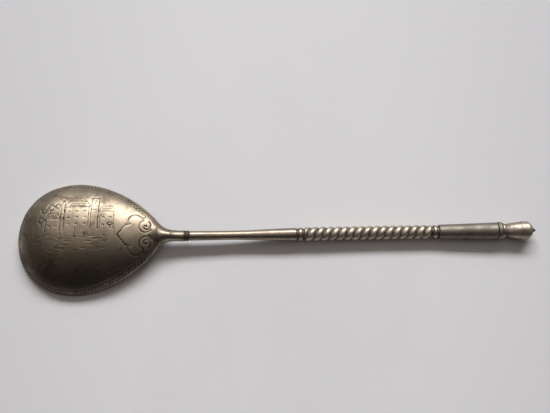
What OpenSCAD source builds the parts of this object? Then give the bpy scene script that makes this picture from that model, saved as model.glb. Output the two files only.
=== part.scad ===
// Teaspoon with a twisted stem, lying face down. Sizes are in millimetres.
// The bowl lies on Z = 0 with its back up: its rim rests there from the tip to the widest
// section and rises from there to the neck. +X runs from the bowl's tip to the knob, and
// the origin is the middle of the footprint. The handle is built along its own axis,
// which starts at the neck's end and runs down to where the crown touches the table.

/* [Bowl] */
// Length from the tip to the joint with the neck
bowl_len = 38.7; // [32:0.1:47]
// Widest width, over the rim
bowl_w = 30.7; // [25:0.1:37]
// Height of the back over the table
bowl_h = 7.9; // [6.5:0.1:10]
// Thickness of the sheet
bowl_wall = 0.85; // [0.6:0.05:1.1]
// Distance from the tip to the widest section
crown_x = 16.2; // [13.5:0.1:20.5]
// Width at the joint with the neck
joint_w = 6.5; // [5:0.1:8]
// Height of the back over the table at the joint with the neck
joint_h = 5.2; // [4.6:0.1:6.2]
// Height of the rim over the table at the joint with the neck
heel_rise = 2.8; // [1:0.1:3.2]
// Solid metal between the hollow and the joint
heel = 1.6; // [1.3:0.1:3]

/* [Neck] */
// Length of the forged shoulder
neck_len = 6.9; // [5:0.1:10]
// Diameter where it meets the collar
neck_d = 2.9; // [2.7:0.05:4]
// Height of the handle's axis over the table at the collar
axis_h = 3.3; // [2.6:0.1:5]
// Angle between the bowl's middle line and the handle, seen from above
handle_turn = 1; // [0:0.1:4]
// Length of the tongue that laps onto the bowl's back
tongue_len = 2.7; // [2:0.1:4]
// Thickness of the tongue along its middle
tongue_t = 0.45; // [0.3:0.05:0.7]
// Diameter of the dowel between bowl and neck
dowel_d = 1.2; // [0.9:0.05:1.6]
// Length of the dowel, the half of it in each piece
dowel_len = 1.8; // [1.4:0.1:2.4]

/* [Stem] */
// Length of the collar over the joint of neck and stem
collar_len = 1.2; // [0.9:0.1:2]
// Diameter of the collar
collar_d = 2.85; // [2.5:0.05:3.8]
// Length of the plain stem
stem_len = 29; // [20:0.1:36]
// Diameter of the plain stem at the collar
stem_low_d = 2.6; // [2.2:0.05:3.2]
// Diameter of the plain stem at its waist
stem_waist_d = 2.45; // [2:0.05:3]
// Diameter of the plain stem at the lower ring
stem_high_d = 3.4; // [2.8:0.05:4.2]
// Diameter of the tenons that join the turned pieces
tenon_d = 1.5; // [1.2:0.05:1.8]
// Depth that a tenon reaches into its socket
tenon_len = 3; // [2:0.1:4.5]

/* [Rings] */
// Length of each turned ring beside the twist
ring_len = 1.95; // [1.5:0.05:2.6]
// Diameter of the ring's bead
ring_d = 3.65; // [3:0.05:4.4]
// Depth of the groove on each side of the bead
ring_groove = 0.4; // [0.2:0.05:0.5]
// Width of each groove
ring_groove_w = 0.45; // [0.3:0.05:0.6]

/* [Twist] */
// Length of the twisted stem
twist_len = 34.45; // [28:0.05:42]
// Diameter over its ridges
twist_d = 3.75; // [3.1:0.05:4.5]
// Depth of its two grooves
twist_groove = 0.5; // [0.3:0.05:0.6]
// Length of one full turn
twist_lead = 4.2; // [3.5:0.1:6]

/* [Grip] */
// Length of the grip
grip_len = 15.85; // [13:0.05:20]
// Diameter at the upper ring
grip_low_d = 3.8; // [3.2:0.05:4.6]
// Diameter at the finial
grip_high_d = 4.5; // [3.8:0.05:5.4]

/* [Finial] */
// Length of the round bead
bead_len = 1.2; // [1:0.05:1.6]
// Diameter of the round bead
bead_d = 4.75; // [4:0.05:5.7]
// Length of the thin collar behind it
washer_len = 0.6; // [0.4:0.05:0.9]
// Diameter of the thin collar
washer_d = 4.2; // [3.6:0.05:5]
// Length of the crown
finial_len = 6.6; // [5.5:0.1:8]
// Diameter of the crown's foot
finial_low_d = 3.45; // [2.8:0.05:4.1]
// Diameter of the crown's rim
finial_d = 5.05; // [4.2:0.05:6.1]
// Length of the straight band at the crown's rim
finial_band = 1.5; // [1:0.1:2]
// Length of the stepped cap
cap_len = 1.3; // [1:0.1:1.6]
// Diameter of the cap's step
cap_d = 4.1; // [3.4:0.05:4.9]
// Diameter of the pin whose rounded end is the knob
pin_d = 0.95; // [0.8:0.05:1.1]
// Length of the pin that shows past the cap
knob_len = 0.6; // [0.5:0.05:0.8]
// Depth of the pin in the grip
pin_depth = 5; // [4:0.1:7]

/* [Fits] */
// Radial clearance of dowel, tenons and pin
fit_gap = 0.03; // [0.02:0.005:0.05]
// Clearance at the blind end of a socket
end_gap = 0.1; // [0.05:0.05:0.3]

/* [Hidden] */

round_fn = 64; // sides of a turned piece
tip_power = 2.2; // roundness of the bowl's outline at its tip
heel_power = 1.75; // how late the outline draws in towards the neck
heel_taper = 0.76; // how straight it runs once it does
dome_power = 1.8; // fullness of the bowl across its width
fall_power = 1.6; // how late the back falls towards the neck
close_power = 10; // how late the hollow closes at the heel
tip_steps = 14; // sections from the tip to the widest one
heel_steps = 14; // sections from there to the joint
arch_steps = 24; // facets across the bowl
blunt = 6; // angle at which the first section stands off the tip
neck_steps = 12; // sections along the neck
neck_sides = 24; // facets round the neck
neck_flare = 4; // how fast the neck narrows behind the joint
tongue_steps = 6; // sections along the tongue
tongue_sink = 0.5; // how far the tongue runs on inside the neck
seat_gap = 0.02; // solder gap under the tongue
slices_per_turn = 10; // sections in a turn of the twist
lobe_fn = 14; // sides of a lobe of the twist
stem_steps = 12; // rings along the plain stem
waist_at = 0.38; // where the stem's waist lies along it
eps = 0.01; // overlap that keeps cuts clean

tilt_arm = bowl_len + neck_len;
collar_s = 0;
stem_s = collar_s + collar_len;
low_ring_s = stem_s + stem_len;
twist_s = low_ring_s + ring_len;
high_ring_s = twist_s + twist_len;
grip_s = high_ring_s + ring_len;
bead_s = grip_s + grip_len;
washer_s = bead_s + bead_len;
finial_s = washer_s + washer_len;
cap_s = finial_s + finial_len;
knob_s = cap_s + cap_len;
handle_len = knob_s + knob_len;

// The crown's far edge is what touches the table
rest_s = cap_s;
rest_r = finial_d / 2;
handle_tilt = asin(axis_h / norm([rest_s, rest_r])) - atan2(rest_r, rest_s);
total_len = tilt_arm + handle_len * cos(handle_turn) * cos(handle_tilt);

// Share of the heel's half outline that lies before the joint
joint_t = pow(1 - pow(joint_w / bowl_w, 1 / heel_taper), 1 / heel_power);
heel_reach = (bowl_len - crown_x) / joint_t;
hollow_end = bowl_len - heel;

function signed_pow(v, p) = sign(v) * pow(abs(v), p);
function ease(t) = t * t * (3 - 2 * t);
function blend(a, b, t) = a + (b - a) * t;

// Half width of the bowl's outline, and height of its back, at x from the tip
function half_w(x) = x < crown_x
    ? bowl_w / 2 * pow(1 - pow((crown_x - x) / crown_x, tip_power), 1 / tip_power)
    : bowl_w / 2 * pow(1 - pow((x - crown_x) / heel_reach, heel_power), heel_taper);
function back_z(x) = x < crown_x
    ? bowl_h * pow(1 - pow((crown_x - x) / crown_x, tip_power), 1 / tip_power)
    : joint_h + (bowl_h - joint_h)
      * (1 + cos(180 * pow((x - crown_x) / (bowl_len - crown_x), fall_power))) / 2;
// Height of the rim at x from the tip
function rim_z(x) = x < crown_x ? 0 : heel_rise * ease((x - crown_x) / (bowl_len - crown_x));

// The same for the hollow, which closes before the heel
function hollow_t(x) = (x - crown_x) / (hollow_end - crown_x);
function hollow_shut(x) = sqrt(1 - pow(hollow_t(x), close_power));
function tip_share(x) = pow(1 - pow((crown_x - x) / (crown_x - bowl_wall), tip_power), 1 / tip_power);
function hollow_w(x) = x < crown_x
    ? (bowl_w / 2 - bowl_wall) * tip_share(x)
    : (half_w(x) - bowl_wall) * hollow_shut(x);
function hollow_z(x) = x < crown_x
    ? (bowl_h - bowl_wall) * tip_share(x)
    : rim_z(x) + (back_z(x) - bowl_wall - rim_z(x)) * hollow_shut(x);

// Stations along X, closer together where the outline turns in
tip_angles = [for (i = [0 : tip_steps]) blend(blunt, 90, i / tip_steps)];
outer_x = concat(
    [for (a = tip_angles) crown_x * (1 - pow(cos(a), 2 / tip_power))],
    [for (i = [1 : heel_steps]) blend(crown_x, bowl_len, i / heel_steps)]);
inner_x = concat(
    [for (a = tip_angles) crown_x - (crown_x - bowl_wall) * pow(cos(a), 2 / tip_power)],
    [for (i = [1 : heel_steps]) blend(crown_x, hollow_end, sin((90 - blunt / 2) * i / heel_steps))]);

// An arch from the rim on -Y up to height h and down to the rim on +Y
function arch(x, w, h) = [for (j = [0 : arch_steps])
    let (a = blend(-90, 90, j / arch_steps))
    [x, w * signed_pow(sin(a), 2 / dome_power), blend(rim_z(x), h, pow(cos(a), 2 / dome_power))]];

// Quads between neighbouring rows of points, rows n long, closed round if shut
function skin(rows, n, first, shut = false, flip = false) = [
    for (i = [0 : rows - 2], j = [0 : n - (shut ? 1 : 2)])
    let (k = (j + 1) % n, a = first + i * n + j, b = first + i * n + k)
    flip ? [a, a + n, b + n, b] : [a, b, b + n, a + n]];

module bowl_shell() {
    rows = len(outer_x);
    n = arch_steps + 1;
    outer = [for (x = outer_x) each arch(x, half_w(x), back_z(x))];
    inner = [for (x = inner_x) each arch(x, hollow_w(x), hollow_z(x))];
    q = rows * n; // index of the hollow's first point
    rim_low = [for (i = [0 : rows - 2]) [i * n, (i + 1) * n, q + (i + 1) * n, q + i * n]];
    rim_high = [for (i = [0 : rows - 2])
        [i * n + n - 1, q + i * n + n - 1, q + (i + 1) * n + n - 1, (i + 1) * n + n - 1]];
    tip_end = [for (j = [n - 1 : -1 : 0]) j];
    heel_end = [for (j = [0 : n - 1]) (rows - 1) * n + j];
    hollow_tip = [for (j = [0 : n - 1]) q + j];
    hollow_heel = [for (j = [n - 1 : -1 : 0]) q + (rows - 1) * n + j];
    rim_tip = [0, q, q + n - 1, n - 1];
    rim_heel = [(rows - 1) * n, rows * n - 1, q + rows * n - 1, q + (rows - 1) * n];
    polyhedron(
        concat(outer, inner),
        concat(skin(rows, n, 0), skin(rows, n, q, flip = true), rim_low, rim_high,
               [tip_end, heel_end, hollow_tip, hollow_heel, rim_tip, rim_heel]),
        convexity = 6);
}

// The bowl and neck stand in the bowl's own line, measured from the tip
module bowl_frame() translate([-total_len / 2, 0, 0]) children();

// Along the handle: X is the distance s from the neck's end
module handle_frame(s = 0)
    bowl_frame() translate([tilt_arm, 0, axis_h]) rotate([0, handle_tilt, -handle_turn])
        translate([s, 0, 0]) rotate([0, 90, 0]) children();

module bowl() {
    color("darkkhaki") bowl_frame() difference() {
        bowl_shell();
        dowel_hole();
    }
}

// Middle height of the joint face, where the dowel sits
dowel_z = (heel_rise + joint_h) / 2;
module dowel_hole()
    translate([bowl_len - dowel_len / 2 - end_gap / 2, 0, dowel_z]) rotate([0, 90, 0])
        cylinder(r = dowel_d / 2 + fit_gap, h = dowel_len + end_gap, $fn = round_fn);

module neck_dowel() {
    color("gray") bowl_frame() translate([bowl_len - dowel_len / 2, 0, dowel_z])
        rotate([0, 90, 0]) cylinder(d = dowel_d, h = dowel_len, $fn = round_fn);
}

// One section of the neck at share t of its length, from an arch at the joint to a round
foot = 0.3; // height of the widest line over the rim at the joint
function neck_section(t) =
    let (w = blend(joint_w, neck_d, 1 - pow(1 - t, neck_flare)) / 2,
         mid = blend(heel_rise + foot, axis_h, ease(t)),
         top = blend(joint_h + tongue_t, axis_h + neck_d / 2, ease(t)) - mid,
         low = blend(foot, neck_d / 2, ease(t)),
         p = blend(2 / dome_power, 1, t),
         turn = -handle_turn * ease(t),
         lean = handle_tilt * ease(t))
    [for (k = [0 : neck_sides - 1])
        let (a = 360 * k / neck_sides,
             y = w * signed_pow(cos(a), p),
             z = (sin(a) > 0 ? top : low) * signed_pow(sin(a), p))
        [bowl_len + neck_len * t + z * sin(lean) - y * sin(turn), y * cos(turn), mid + z * cos(lean)]];

module neck_body() {
    rows = neck_steps + 1;
    points = [for (i = [0 : neck_steps]) each neck_section(i / neck_steps)];
    start = [for (k = [0 : neck_sides - 1]) k];
    end = [for (k = [neck_sides - 1 : -1 : 0]) neck_steps * neck_sides + k];
    polyhedron(points, concat(skin(rows, neck_sides, 0, shut = true, flip = true), [start, end]),
               convexity = 4);
}

// A pointed tongue that follows the bowl's back, soldered down on it. Its last row lies past
// the joint, inside the neck.
function tongue_row(x) =
    let (t = max(0, min(1, (x - bowl_len + tongue_len) / tongue_len)),
         in_neck = x > bowl_len ? 1 : 0,
         on = min(x, bowl_len),
         w = joint_w * (0.46 - 0.1 * in_neck) * (0.06 + 0.94 * pow(t, 1.4)))
    [for (side = [-1, 1], k = [0 : 6])
        let (y = side * w * (k / 3 - 1),
             fall = pow(1 - pow(abs(y) / half_w(on), dome_power), 1 / dome_power),
             seat = blend(rim_z(on), back_z(on), fall),
             crest = tongue_t * (1 - 0.9 * pow(abs(y) / w, 2)) * (0.35 + 0.65 * t))
        [x, y, seat + (side > 0 ? seat_gap : seat_gap + crest) - in_neck * tongue_t]];

module neck_tongue() {
    n = 14;
    rows = tongue_steps + 2;
    tip = bowl_len - tongue_len;
    points = concat(
        [for (i = [0 : tongue_steps]) each tongue_row(blend(tip, bowl_len, i / tongue_steps))],
        tongue_row(bowl_len + tongue_sink));
    start = [for (k = [0 : n - 1]) k];
    end = [for (k = [n - 1 : -1 : 0]) (rows - 1) * n + k];
    polyhedron(points, concat(skin(rows, n, 0, shut = true, flip = true), [start, end]),
               convexity = 4);
}

module neck() {
    color("dimgray") difference() {
        bowl_frame() union() {
            neck_body();
            neck_tongue();
        }
        bowl_frame() dowel_hole();
        handle_frame(-tenon_len - end_gap) tenon_hole();
    }
}

// Socket for a tenon, open at its far end
module tenon_hole()
    cylinder(r = tenon_d / 2 + fit_gap, h = tenon_len + end_gap + eps, $fn = round_fn);

module tenon(h) cylinder(d = tenon_d, h = h, $fn = round_fn);

module neck_collar() {
    edge = collar_d / 2 - 0.15;
    color("sienna") handle_frame(collar_s) rotate_extrude($fn = round_fn)
        polygon([[tenon_d / 2 + fit_gap, 0], [edge, 0], [collar_d / 2, 0.25],
                 [collar_d / 2, collar_len - 0.25], [edge, collar_len],
                 [tenon_d / 2 + fit_gap, collar_len]]);
}

// Radius of the plain stem at share t of its length
function stem_r(t) = t < waist_at
    ? blend(stem_low_d, stem_waist_d, ease(t / waist_at)) / 2
    : blend(stem_waist_d, stem_high_d, ease((t - waist_at) / (1 - waist_at))) / 2;

module lower_stem() {
    color("lightslategray") handle_frame(stem_s) difference() {
        union() {
            rotate_extrude($fn = round_fn)
                polygon(concat([[0, 0]],
                    [for (i = [0 : stem_steps]) [stem_r(i / stem_steps), stem_len * i / stem_steps]],
                    [[0, stem_len]]));
            translate([0, 0, -collar_len - tenon_len]) tenon(collar_len + tenon_len + eps);
        }
        translate([0, 0, stem_len - tenon_len - end_gap]) tenon_hole();
    }
}

// A half-round bead between two grooves
module turned_ring() {
    low = ring_d / 2 - ring_groove;
    bead_w = ring_len - 2 * ring_groove_w;
    rotate_extrude($fn = round_fn)
        polygon(concat(
            [[tenon_d / 2 + fit_gap, 0], [low, 0], [low, ring_groove_w]],
            [for (a = [15 : 15 : 165])
                [low + ring_groove * sin(a), ring_len / 2 - bead_w / 2 * cos(a)]],
            [[low, ring_len - ring_groove_w], [low, ring_len], [tenon_d / 2 + fit_gap, ring_len]]));
}

module lower_ring() color("peru") handle_frame(low_ring_s) turned_ring();

module upper_ring() color("peru") handle_frame(high_ring_s) turned_ring();

module twisted_stem() {
    waist = twist_d / 2 - twist_groove;
    lobe_r = (twist_d / 2 + waist * waist / (twist_d / 2)) / 2;
    turns = twist_len / twist_lead;
    color("silver") handle_frame(twist_s) union() {
        linear_extrude(twist_len, twist = 360 * turns, slices = round(turns * slices_per_turn),
                       convexity = 6)
            for (side = [-1, 1])
                translate([side * (twist_d / 2 - lobe_r), 0]) circle(lobe_r, $fn = lobe_fn);
        translate([0, 0, -ring_len - tenon_len]) tenon(ring_len + tenon_len + eps);
        translate([0, 0, twist_len - eps]) tenon(ring_len + tenon_len + eps);
    }
}

module grip() {
    color("lightgray") handle_frame(grip_s) difference() {
        cylinder(d1 = grip_low_d, d2 = grip_high_d, h = grip_len, $fn = round_fn);
        translate([0, 0, -eps]) tenon_hole();
        translate([0, 0, grip_len - pin_depth - end_gap])
            pin_hole(pin_depth + end_gap + eps);
    }
}

module pin_hole(h) cylinder(r = pin_d / 2 + fit_gap, h = h, $fn = round_fn);

module finial_bead() {
    core = grip_high_d / 2 - 0.1;
    color("peru") handle_frame(bead_s) rotate_extrude($fn = round_fn)
        polygon(concat([[pin_d / 2 + fit_gap, 0], [core, 0]],
            [for (a = [15 : 15 : 165])
                [core + (bead_d / 2 - core) * sin(a), bead_len / 2 * (1 - cos(a))]],
            [[core, bead_len], [pin_d / 2 + fit_gap, bead_len]]));
}

module finial_collar() {
    color("tan") handle_frame(washer_s) rotate_extrude($fn = round_fn)
        polygon([[pin_d / 2 + fit_gap, 0], [washer_d / 2 - 0.1, 0], [washer_d / 2, 0.15],
                 [washer_d / 2, washer_len - 0.15], [washer_d / 2 - 0.1, washer_len],
                 [pin_d / 2 + fit_gap, washer_len]]);
}

module finial_crown() {
    flare = finial_len - finial_band;
    color("gainsboro") handle_frame(finial_s) rotate_extrude($fn = round_fn)
        polygon(concat([[pin_d / 2 + fit_gap, 0]],
            [for (i = [0 : 8])
                [blend(finial_low_d, finial_d, sin(90 * pow(i / 8, 1.2))) / 2, flare * i / 8]],
            [[finial_d / 2, finial_len], [pin_d / 2 + fit_gap, finial_len]]));
}

module finial_cap() {
    step = 0.35;
    color("silver") handle_frame(cap_s) rotate_extrude($fn = round_fn)
        polygon(concat([[pin_d / 2 + fit_gap, 0], [cap_d / 2, 0]],
            [for (a = [0 : 15 : 75])
                [blend(pin_d / 2 + 0.15, cap_d / 2, cos(a)), step + (cap_len - step) * sin(a)]],
            [[pin_d / 2 + 0.15, cap_len], [pin_d / 2 + fit_gap, cap_len]]));
}

module finial_pin() {
    shank = knob_s - bead_s + pin_depth;
    color("black") handle_frame(bead_s - pin_depth) union() {
        cylinder(d = pin_d, h = shank + knob_len - pin_d / 4, $fn = round_fn);
        translate([0, 0, shank + knob_len - pin_d / 4])
            cylinder(d1 = pin_d, d2 = pin_d / 2, h = pin_d / 4, $fn = round_fn);
    }
}

bowl();
neck();
neck_dowel();
neck_collar();
lower_stem();
lower_ring();
twisted_stem();
upper_ring();
grip();
finial_bead();
finial_collar();
finial_crown();
finial_cap();
finial_pin();
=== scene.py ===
import math
import random
import bpy
from mathutils import Matrix, Vector, noise
from mathutils.kdtree import KDTree


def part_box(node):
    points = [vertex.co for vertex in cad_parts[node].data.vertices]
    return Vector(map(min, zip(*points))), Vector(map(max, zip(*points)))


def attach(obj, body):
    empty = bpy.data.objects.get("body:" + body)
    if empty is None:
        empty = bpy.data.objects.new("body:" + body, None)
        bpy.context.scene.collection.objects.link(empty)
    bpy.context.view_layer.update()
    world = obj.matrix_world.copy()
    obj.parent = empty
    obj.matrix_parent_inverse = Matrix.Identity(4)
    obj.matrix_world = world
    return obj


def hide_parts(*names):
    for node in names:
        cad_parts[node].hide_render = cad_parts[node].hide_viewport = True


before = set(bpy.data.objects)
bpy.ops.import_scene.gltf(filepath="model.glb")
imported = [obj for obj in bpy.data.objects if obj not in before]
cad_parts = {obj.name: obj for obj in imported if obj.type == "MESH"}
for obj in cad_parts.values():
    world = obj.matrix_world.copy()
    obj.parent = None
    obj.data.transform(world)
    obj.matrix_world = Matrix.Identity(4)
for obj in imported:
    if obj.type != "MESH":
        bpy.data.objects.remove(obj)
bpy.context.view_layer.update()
mm = 0.001
print("frame loaded")

# Everything is worked out in millimetres. makePiece turns it into metres.


def ease(t):
    return t * t * (3 - 2 * t)


def blend(a, b, t):
    return a + (b - a) * t


def clamp(value, low=0.0, high=1.0):
    return max(low, min(high, value))


def signedPower(value, power):
    return math.copysign(abs(value) ** power, value)


def softNoise(point, size, seed=0.0):
    return noise.noise(Vector(point) / size + Vector((seed, seed * 1.7, -seed)))


def gridFaces(rows, columns, start=0, closed=False, turned=False):
    faces = []
    for i in range(rows - 1):
        for j in range(columns if closed else columns - 1):
            k = (j + 1) % columns
            a = start + i * columns
            b = a + columns
            quad = (a + j, a + k, b + k, b + j)
            faces.append(quad[::-1] if turned else quad)
    return faces


def makePiece(name, points, faces, material, replaced, values, sharpAngle=50):
    mesh = bpy.data.meshes.new(name)
    mesh.from_pydata([Vector(p) * mm for p in points], [], faces)
    mesh.shade_smooth()
    mesh.set_sharp_from_angle(angle=math.radians(sharpAngle))
    for key, numbers in values.items():
        layer = mesh.attributes.new(key, "FLOAT", "POINT")
        layer.data.foreach_set("value", numbers)
    mesh.materials.append(material)
    piece = bpy.data.objects.new(name, mesh)
    bpy.context.scene.collection.objects.link(piece)
    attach(piece, "root")
    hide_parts(*replaced)
    print("made", name, len(faces), "faces")


# Finishes: worn silver, with tarnish in the cuts and bare metal on the high spots

silverTones = {
    "clean": (0.34, 0.288, 0.225),
    "dull": (0.20, 0.168, 0.132),
    "brown": (0.105, 0.076, 0.056),
    "plum": (0.12, 0.086, 0.078),
    "moss": (0.135, 0.132, 0.105),
    "soot": (0.014, 0.011, 0.009),
}


def startFinish(name):
    material = bpy.data.materials.new(name)
    material.use_nodes = True
    tree = material.node_tree
    tree.nodes.clear()
    output = tree.nodes.new("ShaderNodeOutputMaterial")
    shader = tree.nodes.new("ShaderNodeBsdfPrincipled")
    tree.links.new(shader.outputs[0], output.inputs[0])
    coords = tree.nodes.new("ShaderNodeTexCoord")
    inMillimetres = tree.nodes.new("ShaderNodeMapping")
    inMillimetres.inputs["Scale"].default_value = (1 / mm, 1 / mm, 1 / mm)
    tree.links.new(coords.outputs["Object"], inMillimetres.inputs["Vector"])
    return material, tree, shader, inMillimetres.outputs[0]


def stretch(tree, coords, scale, offset=(0, 0, 0)):
    node = tree.nodes.new("ShaderNodeMapping")
    node.inputs["Scale"].default_value = scale
    node.inputs["Location"].default_value = offset
    tree.links.new(coords, node.inputs["Vector"])
    return node.outputs[0]


def noisePattern(tree, coords, scale, detail=4.0, roughness=0.55, twirl=0.0):
    node = tree.nodes.new("ShaderNodeTexNoise")
    node.inputs["Scale"].default_value = scale
    node.inputs["Detail"].default_value = detail
    node.inputs["Roughness"].default_value = roughness
    node.inputs["Distortion"].default_value = twirl
    tree.links.new(coords, node.inputs["Vector"])
    return node.outputs["Fac"]


def spread(tree, value, fromLow, fromHigh, toLow=0.0, toHigh=1.0):
    node = tree.nodes.new("ShaderNodeMapRange")
    node.interpolation_type = "SMOOTHSTEP"
    node.inputs["From Min"].default_value = fromLow
    node.inputs["From Max"].default_value = fromHigh
    node.inputs["To Min"].default_value = toLow
    node.inputs["To Max"].default_value = toHigh
    tree.links.new(value, node.inputs["Value"])
    return node.outputs["Result"]


def combine(tree, how, a, b):
    node = tree.nodes.new("ShaderNodeMath")
    node.operation = how
    for socket, value in zip(node.inputs, (a, b)):
        if isinstance(value, (int, float)):
            socket.default_value = value
        else:
            tree.links.new(value, socket)
    return node.outputs[0]


def mixTone(tree, share, a, b):
    node = tree.nodes.new("ShaderNodeMix")
    node.data_type = "RGBA"
    tree.links.new(share, node.inputs[0])
    for socket, tone in ((node.inputs[6], a), (node.inputs[7], b)):
        if isinstance(tone, tuple):
            socket.default_value = (*tone, 1)
        else:
            tree.links.new(tone, socket)
    return node.outputs[2]


def attributeValue(tree, name):
    node = tree.nodes.new("ShaderNodeAttribute")
    node.attribute_name = name
    return node.outputs["Fac"]


def shiftedPattern(tree, coords, shift, scale, detail=3.0, roughness=0.55, twirl=0.0):
    # the shift only keeps one pattern from following another
    return noisePattern(tree, stretch(tree, coords, (1, 1, 1), shift), scale, detail, roughness, twirl)


def silverFinish(name, look):
    material, tree, shader, coords = startFinish(name)
    tone = {}
    for key, colour in silverTones.items():
        tone[key] = tuple(c * t for c, t in zip(colour, look["tint"]))
    clouds = noisePattern(tree, coords, look["cloudScale"], 5, 0.6, 0.6)
    blotches = shiftedPattern(tree, coords, (31, 7, 3), look["stainScale"], 6, 0.62, 0.4)
    tints = shiftedPattern(tree, coords, (5, 43, 17), look["cloudScale"] * 0.6)
    specks = shiftedPattern(tree, coords, (2, 9, 61), look["speckScale"])
    grain = noisePattern(tree, coords, look["grainScale"], 4, 0.7)
    scratches = noisePattern(tree, stretch(tree, coords, look["rubbed"]), 1.0, 3, 0.6, 0.3)

    # clean to dull, then stains and specks, painted shade underneath in the soot tone, the bare ridges, and
    # the dark grooves
    dullness = spread(tree, clouds, 0.5 - look["contrast"], 0.5 + look["contrast"])
    dullness = combine(tree, "MULTIPLY", dullness, look["dullShare"])
    colour = mixTone(tree, dullness, tone["clean"], tone["dull"])
    moss = combine(tree, "MULTIPLY", spread(tree, tints, 0.5, 0.66), look["mossShare"])
    colour = mixTone(tree, moss, colour, tone["moss"])
    stained = spread(tree, blotches, look["stainFrom"], look["stainFrom"] + look["stainFade"])
    stained = combine(tree, "MULTIPLY", stained, look["stainShare"])
    colour = mixTone(tree, stained, colour, tone["brown"])
    plum = combine(tree, "MULTIPLY", spread(tree, specks, 0.58, 0.72), look["speckShare"])
    colour = mixTone(tree, plum, colour, tone["plum"])
    # painted shade: the metal darkened underneath and on the bowl's side away from the window
    under = combine(tree, "MULTIPLY", attributeValue(tree, "under"), look["underShare"])
    colour = mixTone(tree, under, colour, tone["soot"])
    high = attributeValue(tree, "ridge")
    bare = combine(tree, "MULTIPLY", high, spread(tree, grain, 0.3, 0.6, 0.55, 1.0))
    colour = mixTone(tree, bare, colour, tone["clean"])
    low = look["groove"](tree, coords) if "groove" in look else attributeValue(tree, "groove")
    colour = mixTone(tree, low, colour, tone["soot"])
    tree.links.new(colour, shader.inputs["Base Color"])

    # stains and grooves are rougher, rubbed ridges smoother
    rough = spread(tree, clouds, 0.3, 0.7, look["roughness"] - 0.05, look["roughness"] + 0.07)
    rough = combine(tree, "ADD", rough, combine(tree, "MULTIPLY", stained, 0.10))
    rough = combine(tree, "SUBTRACT", rough, combine(tree, "MULTIPLY", bare, 0.06))
    rough = combine(tree, "ADD", rough, combine(tree, "MULTIPLY", low, 0.25))
    tree.links.new(rough, shader.inputs["Roughness"])
    shader.inputs["Metallic"].default_value = 1.0

    relief = combine(tree, "MULTIPLY", grain, 0.5)
    relief = combine(tree, "ADD", relief, combine(tree, "MULTIPLY", scratches, look["scratchDepth"]))
    relief = combine(tree, "SUBTRACT", relief, combine(tree, "MULTIPLY", plum, 0.8))
    bump = tree.nodes.new("ShaderNodeBump")
    bump.inputs["Strength"].default_value = 1.0
    bump.inputs["Distance"].default_value = look["relief"] * mm
    tree.links.new(relief, bump.inputs["Height"])
    tree.links.new(bump.outputs[0], shader.inputs["Normal"])
    return material


plainFinish = {  # scales are patterns for each millimetre
    "tint": (1.15, 1.13, 1.15),
    "cloudScale": 0.45,
    "contrast": 0.14,
    "dullShare": 0.7,
    "mossShare": 0.5,
    # how dark the painted shade underneath gets
    "underShare": 0.75,
    "stainScale": 0.3,
    "stainFrom": 0.55,
    "stainFade": 0.13,
    "stainShare": 0.75,
    "speckScale": 2.6,
    "speckShare": 0.5,
    "grainScale": 4.5,
    "roughness": 0.33,
    "rubbed": (7.0, 0.6, 0.6),
    "scratchDepth": 0.5,
    "relief": 0.02,
}


# The bowl: a thin dome lying on its rim, with the cut decoration on its back

bowlSize = {
    "length": 38.7,
    "width": 30.7,
    "height": 7.9,
    "sheet": 0.85,
    "crownAt": 16.2,
    "jointWidth": 6.5,
    "jointHeight": 5.2,
    "heelRise": 2.8,
    "heel": 1.6,
    "tipPower": 2.2,
    "heelPower": 1.75,
    "heelTaper": 0.76,
    "domePower": 1.8,
    "fallPower": 1.6,
    "closePower": 10,
    "tipRows": 128,
    "heelRows": 172,
    "outerColumns": 252,
    "innerColumns": 34,
    "rimChamfer": 0.12,
    "dents": 0.05,
    "longDents": 5.5,
    "shortDents": 2.2,
    "cutDepth": 0.065,
    "cutWidth": 0.2,
}
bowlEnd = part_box("bowl")[1].x / mm
tipX = bowlEnd - bowlSize["length"]
heelLength = bowlSize["length"] - bowlSize["crownAt"]
jointNarrowing = (bowlSize["jointWidth"] / bowlSize["width"]) ** (1 / bowlSize["heelTaper"])
heelReach = heelLength / (1 - jointNarrowing) ** (1 / bowlSize["heelPower"])
hollowEnd = bowlSize["length"] - bowlSize["heel"]


def tipShare(x, start=0.0):
    # 0 at the tip, 1 at the widest section
    c = bowlSize["crownAt"]
    p = bowlSize["tipPower"]
    return (1 - clamp((c - x) / (c - start)) ** p) ** (1 / p)


def heelShare(x):
    # 0 at the widest section, 1 at the neck
    return clamp((x - bowlSize["crownAt"]) / heelLength)


def halfWidth(x):
    half = bowlSize["width"] / 2
    if x < bowlSize["crownAt"]:
        return half * tipShare(x)
    fall = clamp((x - bowlSize["crownAt"]) / heelReach) ** bowlSize["heelPower"]
    return half * (1 - fall) ** bowlSize["heelTaper"]


def backHeight(x):
    if x < bowlSize["crownAt"]:
        return bowlSize["height"] * tipShare(x)
    fall = (1 + math.cos(math.pi * heelShare(x) ** bowlSize["fallPower"])) / 2
    return blend(bowlSize["jointHeight"], bowlSize["height"], fall)


def rimHeight(x):
    # flat on the table as far as the widest section, then up to the neck
    return bowlSize["heelRise"] * ease(heelShare(x))


def domeHeight(x, y):
    p = bowlSize["domePower"]
    reach = clamp(abs(y) / max(halfWidth(x), 1e-6))
    return blend(rimHeight(x), backHeight(x), (1 - reach ** p) ** (1 / p))


def hollowSection(x):
    # half the width of the hollow, and the height of its top
    c = bowlSize["crownAt"]
    sheet = bowlSize["sheet"]
    if x < c:
        share = tipShare(x, sheet)
        return (bowlSize["width"] / 2 - sheet) * share, (bowlSize["height"] - sheet) * share
    share = math.sqrt(1 - clamp((x - c) / (hollowEnd - c)) ** bowlSize["closePower"])
    return (halfWidth(x) - sheet) * share, blend(rimHeight(x), backHeight(x) - sheet, share)


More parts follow.
